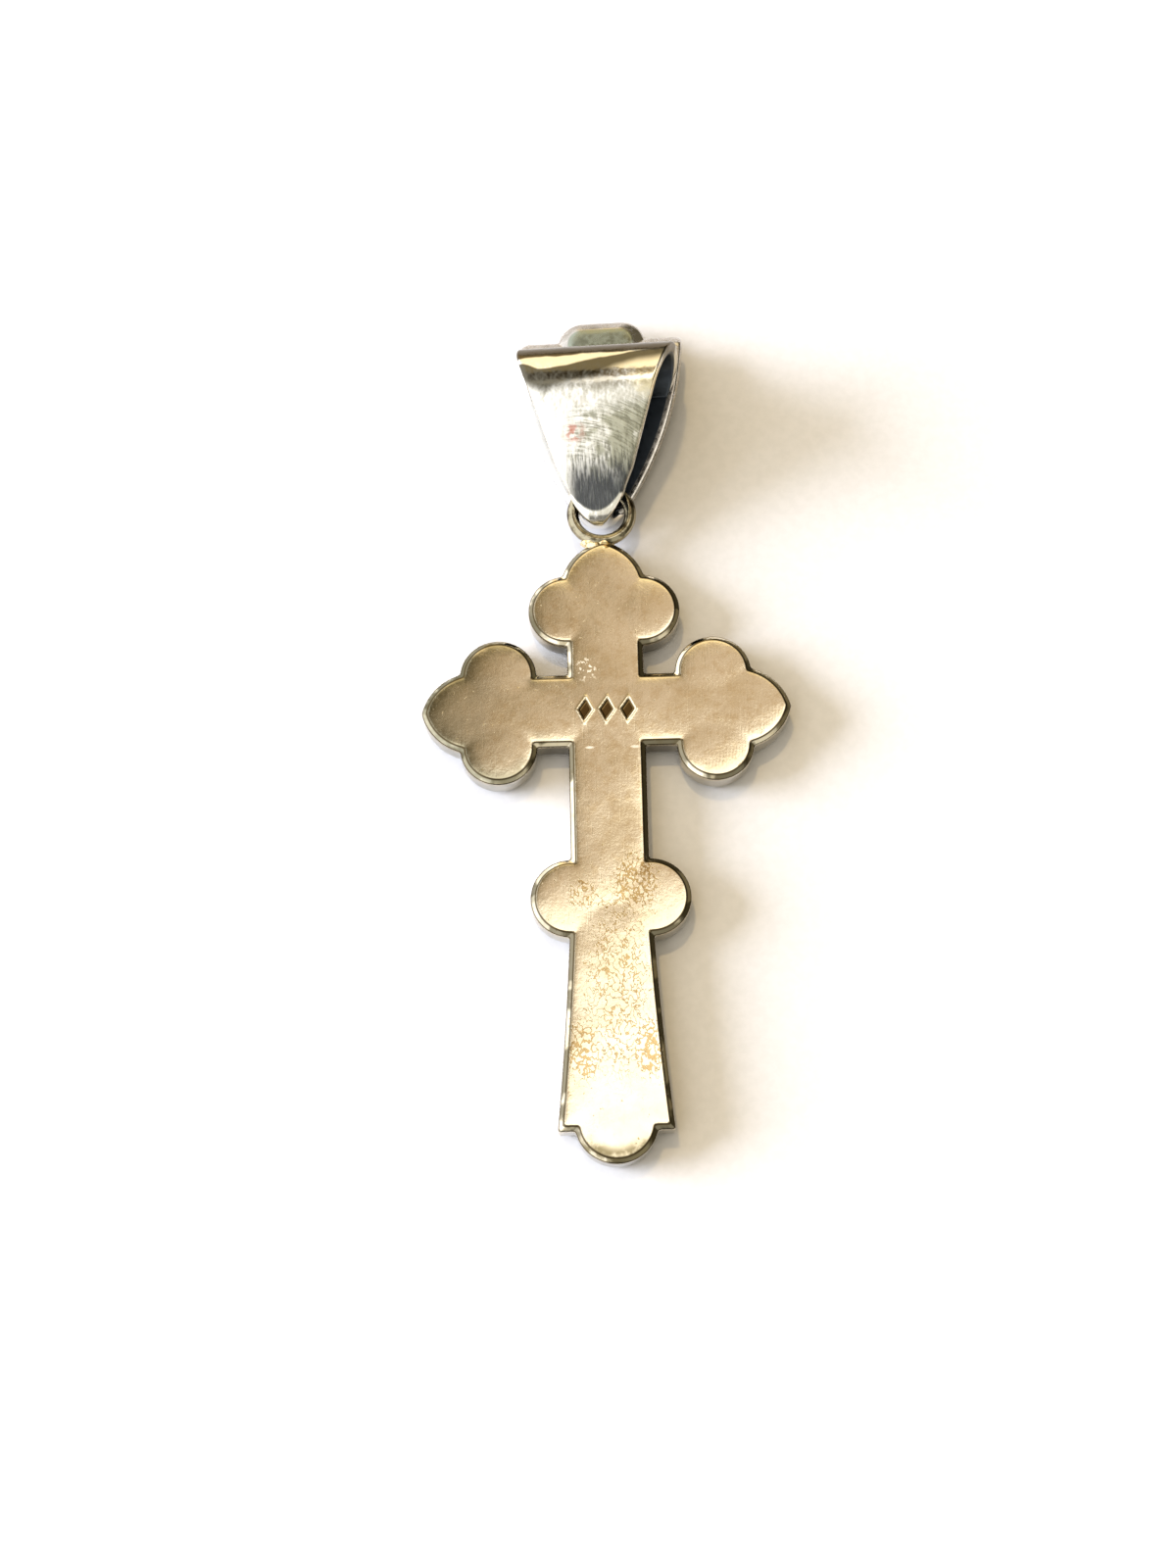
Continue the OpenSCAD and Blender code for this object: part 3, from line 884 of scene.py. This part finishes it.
rubs = add(tree, "ShaderNodeTexNoise", {"Vector": mm, "Scale": 1 / 0.222, "Detail": 3})
rubs = fade(tree, spots(tree, flat_at, (-1.05, 2.5, 0.9, 1.1, 1.0)), (rubs, 0.54, 0.6))
dashes = spots(tree, flat_at, (-1.0, -2.33, 0.36, 0.11, 1.0), (1.6, -2.33, 0.36, 0.11, 1.0))
scuffs = add(tree, "ShaderNodeMath", {0: rubs, 1: dashes}, operation="MAXIMUM")

# Darker and greyer towards the left end, in blotches near the edge.
left_darkening = fade(tree, (flat["X"], -2.7, -4.4), (flat["Z"], 1.25, 0.2), (skin, 0.38, 0.58), high=0.62)
dull_bevel = fade(tree, (stretches, 0.49, 0.55), (flat["Z"], 0.32, 0.26), (flat["Z"], 0.0, 0.03), high=0.8)
smeared = fade(tree, (smears, 0.3, 0.6), low=0.35)
foot_end = fade(tree, (flat["Z"], 1.15, 0.5), (flat["Y"], -24.3, -25.2), smeared)
inner_line = fade(tree, (flat["Z"], 0.2, 0.25), (flat["Z"], 0.35, 0.3), high=0.9)
outer_line = fade(tree, (flat["Z"], 0.0, 0.015), (flat["Z"], 0.07, 0.04), high=0.9)
base = lay(
    tree, base,
    (fade(tree, pits, high=0.85), colour("#B3945A")),
    (left_darkening, colour("#6E6B55")),
    (dull_bevel, colour("#4E4833")),
    (foot_end, colour("#857A5D")),
    (inner_line, colour("#4A3C22")),
    (outer_line, colour("#4A3C22")),
    (sides, colour("#BDBBB6")),
    (fade(tree, inner_corner_shade, sides), colour("#33322F")),
    (fade(tree, (punch, 0.1, 0.7)), colour("#5E4B2C")),
    (scuffs, colour("#FFF8EA")),
)
print("with tarnish:", len(tree.nodes), "nodes")

# %% [markdown]
# The polish itself is hairlines in two directions, really about 0.02 mm wide
# and drawn 0.11 mm wide so that they show, over a grain of 0.14 mm. On the
# right arm a wavy print, like a finger's, lies over it. The bevel was
# burnished, so it is smoother than the face.

# %% The cross's polish
hairs = 0.0
for turn, wide, long, start in ((28, 0.111, 2.0, 0.62), (-52, 0.125, 2.5, 0.64)):
    strands = add(tree, "ShaderNodeMapping", {
        "Vector": mm, "Rotation": (0, 0, math.radians(turn)), "Scale": (1 / wide, 1 / long, 1)})
    strands = add(tree, "ShaderNodeTexNoise", {"Vector": strands, "Scale": 1, "Detail": 2})
    hairs = total(tree, hairs, (fade(tree, (strands, start, 0.72)), 1.0))
grain = add(tree, "ShaderNodeTexNoise", {"Vector": mm, "Scale": 1 / 0.143, "Detail": 4, "Roughness": 0.6})
swell = add(tree, "ShaderNodeTexNoise", {"Vector": mm, "Scale": 1 / 0.625, "Detail": 3})
finger = add(tree, "ShaderNodeTexWave", {"Vector": mm, "Scale": 1 / 0.625, "Distortion": 9, "Detail": 2,
                                         "Detail Scale": 0.5}).outputs["Fac"]

haze = fade(tree, (total(tree, 0.0, (grain, 0.7), (hairs, 0.06)), 0.2, 0.8), low=0.11, high=0.22)
bevel = fade(tree, (flat["Z"], 0.34, 0.24))
end_finish(
    cast_silver, base, total(tree, haze, (bevel, -0.08), (scuffs, 0.3)),
    relief(tree, (grain, 0.0028), (fade(tree, finger, (flat["X"], 4.5, 6.5)), 0.0006), (swell, 0.006),
           (total(tree, pits, (hairs, 0.12)), -0.007)))

# %% [markdown]
# ## Polished wire and solder
#
# The wire was drawn and polished, and it has dark stains 0.8 mm wide. Solder
# has more brass in it, so it sets a little yellower, with small lumps.

# %% The ring's and the solder's finish
for name, tint, dull, haze, lump_depth in (
    ("sterling_silver_wire_polished", "#A89F86", "#3E3522", 0.05, 0.012),
    ("silver_solder_as_set", "#F6E2B6", "#B8934F", 0.08, 0.09),
):
    metal, tree = new_finish(name)
    mm = in_mm(tree)
    stains = add(tree, "ShaderNodeTexNoise", {"Vector": mm, "Scale": 1 / 0.77, "Detail": 4})
    dulling = add(tree, "ShaderNodeTexNoise", {"Vector": mm, "Scale": 1 / 0.125, "Detail": 3})
    lumps = add(tree, "ShaderNodeTexNoise", {"Vector": mm, "Scale": 1 / 0.385, "Detail": 2})
    end_finish(metal, lay(tree, colour(tint), (fade(tree, (stains, 0.45, 0.65)), colour(dull))),
               fade(tree, (dulling, 0.3, 0.7), low=haze, high=haze + 0.14),
               relief(tree, (lumps, lump_depth)))

# %% [markdown]
# ## Silver sheet, brushed along the leaf
#
# The back leaf was rubbed with coarse paper to a satin. Its strokes, 0.13 mm
# apart, run along the leaf low down and swing across in wide arcs higher up.
# The fold and the roll are polished, so they mirror the room. The satin ends
# below the fold along a wavy line that is lower at the left. All of it follows
# the strip's own measures: across, along, and out to in.

# %% The satin and its strokes
brushed_sheet, tree = new_finish("sterling_silver_sheet_brushed")
own = add(tree, "ShaderNodeAttribute", attribute_name="sheet").outputs["Vector"]
part = add(tree, "ShaderNodeSeparateXYZ", {"Vector": own}).outputs

wander = add(tree, "ShaderNodeTexNoise", {"Vector": own, "Scale": 1 / 0.667, "Detail": 2})
upper_edge = total(tree, part["Y"], (part["X"], -0.1), (wander, 0.7))
bow = add(tree, "ShaderNodeMath", {0: part["X"], 1: part["X"]}, operation="MULTIPLY")
bow = add(tree, "ShaderNodeMath", {0: total(tree, 0.0, (bow, 0.5)), 1: 1.0}, operation="MINIMUM")
lower_edge = total(tree, part["Y"], (bow, -1.0))
satin = fade(tree, (part["Z"], 0.25, 0.02), (lower_edge, -0.5, -0.3), (upper_edge, 6.6, 5.2))

arm = add(tree, "ShaderNodeVectorMath", {0: own, 1: (1.0, 0.5, 0)})
ends = add(tree, "ShaderNodeSeparateXYZ", {"Vector": arm}).outputs
angle = add(tree, "ShaderNodeMath", {0: ends["X"], 1: ends["Y"]}, operation="ARCTAN2")
reach = add(tree, "ShaderNodeVectorMath", {0: arm}, operation="LENGTH")
arcs = add(tree, "ShaderNodeCombineXYZ",
           {"X": total(tree, 0.0, (angle, 3.0)), "Y": total(tree, 0.0, (reach, 1 / 0.143))})
lengthwise, coarse = (
    add(tree, "ShaderNodeMapping", {
        "Vector": own, "Rotation": (0, 0, math.radians(turn)), "Scale": (1 / wide, 1 / long, 1)})
    for turn, wide, long in ((3, 0.133, 1.11), (8, 0.294, 0.909)))
strokes_up, strokes_round = (
    add(tree, "ShaderNodeTexNoise", {"Vector": course, "Scale": 1, "Detail": 4, "Roughness": 0.65})
    for course in (lengthwise, arcs))
strokes_coarse = add(tree, "ShaderNodeTexNoise", {"Vector": coarse, "Scale": 1, "Detail": 3})
drift = add(tree, "ShaderNodeTexNoise", {"Vector": own, "Scale": 1 / 1.11, "Detail": 2})
swing = fade(tree, (total(tree, part["Y"], (drift, 1.5)), 2.4, 5.2))
fine = add(tree, "ShaderNodeMix", {0: swing, 2: strokes_up, 3: strokes_round})
strokes = total(tree, 0.0, (fine, 0.7), (strokes_coarse, 0.3))
print("satin and strokes:", len(tree.nodes), "nodes")

# %% [markdown]
# On the right of the leaf the strokes are darker between them, and grey-green
# patches grow towards the right. The tongue at the leaf's lower end is painted
# dark grey between lighter strokes, as a painted dark reflection. A faint
# copper-red stain lies low on the left.

# %% The leaf's stains, darker strokes and painted dark reflection
patches = add(tree, "ShaderNodeTexNoise", {"Vector": own, "Scale": 1 / 1.11, "Detail": 4})
patches = fade(tree, (total(tree, patches, (part["X"], 0.09)), 0.44, 0.62), satin)
satin_right = fade(tree, (part["X"], -1.9, -1.0), satin)
# Painted dark reflection: the tongue at the leaf's lower end turns dark grey between lighter strokes.
tongue = fade(tree, (total(tree, part["Y"], (strokes_up, 3.0)), 5.0, 2.6), satin_right)
copper_at = add(tree, "ShaderNodeVectorMath", {0: own, 1: (-1.1, 4.25, 0)}, operation="DISTANCE")
copper = add(tree, "ShaderNodeTexNoise", {"Vector": own, "Scale": 1 / 0.333, "Detail": 3})
base = lay(
    tree, colour("#F6F1E6"),
    (patches, colour("#B7B49F")),
    (fade(tree, (strokes, 0.54, 0.42), satin_right, high=0.8), colour("#85826F")),
    (fade(tree, tongue, high=0.97), colour("#4A4B4C")),
    (fade(tree, (strokes_up, 0.52, 0.66), tongue, high=0.3), colour("#9C9D96")),
    (fade(tree, (copper_at, 0.9, 0.2), (copper, 0.4, 0.6), high=0.8), colour("#B97560")),
)
print("with stains:", len(tree.nodes), "nodes")

# %% [markdown]
# On the fold the dark reflections above and below a clean golden band are
# painted. The lower painted dark band climbs to the right and bends up at its
# left end. Under it lie a painted brown shade in the middle and a painted
# golden highlight at the right. Inside, the sheet is painted blue-black, as
# painted shade.

# %% The fold's painted reflections and shade, and the strip's finish
leaf_len = leaf_end - leaf_start
waver = add(tree, "ShaderNodeTexNoise", {"Vector": own, "Scale": 1 / 1.67, "Detail": 2})
up_fold = total(tree, -leaf_len, (part["Y"], 1.0), (waver, 0.5))
ragged = add(tree, "ShaderNodeTexNoise", {"Vector": own, "Scale": 1 / 0.455, "Detail": 3})
# Painted shade and painted highlight: a brown shade in the middle and a golden highlight at the right.
painted_brown_shade, painted_gleam = (
    fade(tree, (total(tree, oval(tree, own, x, leaf_len + up, wide, tall), (ragged, 1.0)), 1.5, 0.7))
    for x, up, wide, tall in ((0.7, 0.5, 1.9, 0.9), (3.5, 0.6, 1.7, 1.5)))
painted_gleam = fade(tree, painted_gleam, (up_fold, 1.7, 1.2))
left_bend = fade(tree, (part["X"], -2.6, -4.3), high=0.8)
right_rise = fade(tree, (part["X"], -0.6, 2.4), high=0.5)
# Where the painted dark reflections above and below the golden band lie.
band_top = total(tree, up_fold, (part["X"], -0.2), (left_bend, -1.0))
band_foot = total(tree, band_top, (right_rise, -1.0))
crown = total(tree, up_fold, (part["X"], -0.04))
# Painted shade on the strip's inner face.
inner = fade(tree, (part["Z"], 0.8, 0.95))
base = lay(
    tree, base,
    (fade(tree, painted_brown_shade, high=0.6), colour("#8B8168")),
    (fade(tree, painted_gleam, high=0.8), colour("#FFEFC4")),
    (fade(tree, (band_foot, 0.45, 1.25), (band_top, 2.28, 2.12), total(tree, 1.0, (painted_gleam, -1.0))),
     colour("#625D50")),
    (fade(tree, (crown, 2.6, 2.8), (crown, 5.6, 4.6)), colour("#574B33")),
    (inner, colour("#4A4F55")),
)
haze = total(tree, fade(tree, (satin, 0, 1), low=0.1, high=0.27), (inner, 0.25),
             (fade(tree, (strokes, 0.3, 0.7), low=-0.05, high=0.09), 1.0))
dents = add(tree, "ShaderNodeTexNoise", {"Vector": own, "Scale": 1 / 0.714, "Detail": 2})
scratches = fade(tree, total(tree, -0.5, (strokes, 1.0)), satin)
end_finish(brushed_sheet, base, haze, relief(tree, (scratches, 0.04), (dents, 0.02)))

# %% [markdown]
# ## Silver plate, polished and old
#
# The front plate is polished, with the greyer skin of old silver on its back.
# Its middle is grey-green, and inside the hollow, on the right, it is painted
# as blue-black as the strip, as painted shade. Beside the leaf's left edge it
# is painted near-white, as painted light.

# %% The front plate's finish
plate_silver, tree = new_finish("sterling_silver_plate_polished")
mm = in_mm(tree)
flat_at = add(tree, "ShaderNodeAttribute", attribute_name="flat").outputs["Vector"]
flat = add(tree, "ShaderNodeSeparateXYZ", {"Vector": flat_at}).outputs
clouds = add(tree, "ShaderNodeTexNoise", {"Vector": mm, "Scale": 1 / 0.909, "Detail": 4})
grain = add(tree, "ShaderNodeTexNoise", {"Vector": mm, "Scale": 1 / 0.333, "Detail": 3})
# Painted shade inside the hollow, on the right.
hollow = fade(tree, (flat["Z"], 0.32, 0.44), (flat["Y"], 9.4, 8.6), (flat["X"], -1.6, -0.6))
base = lay(
    tree, colour("#CFC9C2"),
    (fade(tree, (clouds, 0.35, 0.7)), colour("#AFA9A0")),
    # Painted light: near-white beside the leaf's left edge.
    (fade(tree, (flat["X"], -0.8, -1.8), (flat["Y"], 10.6, 9.6)), colour("#F8F6F2")),
    (fade(tree, (flat["Z"], 0.58, 0.72)), colour("#8F9384")),
    (hollow, colour("#3E444B")),
)
haze = total(tree, fade(tree, (grain, 0.3, 0.7), low=0.16, high=0.3), (hollow, 0.2))
end_finish(plate_silver, base, haze, relief(tree, (grain, 0.002)))

# %% [markdown]
# ## Dress the pieces
#
# Each piece gets its one finish. It rides on the single body and stands in
# for the CAD node that it refines.

# %% Dress the pieces and tie them to the frame
solder_silver = bpy.data.materials["silver_solder_as_set"]
for piece, finish, nodes, slot in (
    (cross_plate, cast_silver, ["cross"], "polished_silver"),
    (ring, polished_wire, ["cross"], "polished_silver"),
    (solder, solder_silver, ["cross"], "polished_silver"),
    (bail_plate, plate_silver, ["bail"], "brushed_silver"),
    (bail_strip, brushed_sheet, ["bail"], "brushed_silver"),
):
    piece.data.materials.clear()
    piece.data.materials.append(finish)
    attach(piece, "root")
    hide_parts(*nodes)
    print(f"{piece.name}: {finish.name}, slot {slot}")

# %% [markdown]
# ## Card, light and room
#
# The pendant lies on white card, matt and a little warm, with paper fibres
# 0.6 mm wide that barely show. In the photo it is exposed up to white.

# %% Lay the card
card_half = 4.0
corners = [(x * card_half, y * card_half, 0) for x, y in ((-1, -1), (1, -1), (1, 1), (-1, 1))]
card = bpy.data.objects.new("card", bpy.data.meshes.new("card"))
card.data.from_pydata(corners, [], [(0, 1, 2, 3)])
bpy.context.scene.collection.objects.link(card)
paper, tree = new_finish("white_card_matt")
mm = in_mm(tree)
fibres = add(tree, "ShaderNodeTexNoise", {"Vector": mm, "Scale": 1 / 0.625, "Detail": 4, "Roughness": 0.6})
tint = lay(tree, colour("#ADAAA5"), (fade(tree, (fibres, 0.35, 0.65)), colour("#A9A6A1")))
matt = add(tree, "ShaderNodeBsdfPrincipled", {"Base Color": tint, "Roughness": 0.8})
add(tree, "ShaderNodeOutputMaterial", {"Surface": matt})
card.data.materials.append(paper)
print("card:", 2 * card_half, "m wide")

# %% [markdown]
# Three lights shape the scene. A small warm lamp stands above and behind the
# pendant and throws short, crisp shadows towards the camera. A wide, bluish
# window low on the left leaves a soft, warm shade on the right of everything.
# A weak ceiling fills the shades. None of them shows in the metal, because the
# room below does that.

# %% Light the scene
def sun(name, towards, strength, width, tint):
    """A sun that stands towards a direction, and is width degrees wide."""
    lamp = bpy.data.objects.new(name, bpy.data.lights.new(name, "SUN"))
    bpy.context.scene.collection.objects.link(lamp)
    lamp.rotation_euler = Vector(towards).to_track_quat("Z", "Y").to_euler()
    lamp.data.energy, lamp.data.angle = strength, math.radians(width)
    lamp.data.color = colour(tint)[:3]
    lamp.visible_glossy = False
    print(f"{name}: strength {strength}, {width} degrees wide")


sun("lamp", (-0.16, 0.5, 1.0), 1.3, 3, "#FFE0A6")
sun("window", (-1.0, 0.08, 0.14), 33.5, 42, "#DCE6FF")
sun("ceiling", (0.0, 0.1, 1.0), 1.15, 150, "#FFE8BE")

# %% [markdown]
# The metal shows the room, so the room is drawn as a sky of soft zones. Each
# zone is a colour with a direction, and fades in between two values of the
# dot product with it. Later zones lie over earlier ones.

# %% Draw the room that the metal reflects
world = bpy.data.worlds.new("room")
bpy.context.scene.world = world
world.use_nodes = True
sky = world.node_tree
sky.nodes.clear()
way = add(sky, "ShaderNodeTexCoord").outputs["Generated"]

zones = [
    # Straight overhead is light cream, and behind the pendant it gets duller
    ("#FFE8CE", 0.73, (-0.35, 1, 0), 0.225, 0.3),
    ("#A8956E", 0.6, (-1, 0.8, 0), 0.26, 0.46),
    # Further back stand a golden lamp shade and, at the horizon, a light wall
    ("#FFEBBE", 1.5, (0, 1, 0), 0.44, 0.54),
    ("#E8E4DC", 0.8, (0, 1, 0), 0.975, 0.995),
    # On the camera's side come a duller stretch, a light wall and its grey foot
    ("#DAD6C8", 0.9, (0, 1, 0), 0.04, -0.08),
    ("#F2F0E4", 0.92, (0, 1, 0), -0.22, -0.34),
    ("#A8A69C", 0.5, (0, 1, 0), -0.8, -0.92),
    # A dim wall on the right, and the window on the left
    ("#8F866C", 0.6, (0.85, 0.5, 0), 0.36, 0.6),
    ("#FAFCFF", 1.9, (-1, 0, 0), 0.2, 0.33),
]


def light(hex_code, strength):
    return [c * strength for c in colour(hex_code)[:3]] + [1]


seen = light("#FFFBF2", 2.1)
for hex_code, strength, axis, start, end in zones:
    facing = add(sky, "ShaderNodeVectorMath", {0: way, 1: axis}, operation="DOT_PRODUCT")
    seen = lay(sky, seen, (fade(sky, (facing, start, end)), light(hex_code, strength)))
glow = add(sky, "ShaderNodeBackground", {"Color": seen, "Strength": 1.0})
add(sky, "ShaderNodeOutputWorld", {"Surface": glow})
bpy.context.scene.view_settings.view_transform = "Standard"
print("room:", len(zones), "zones")
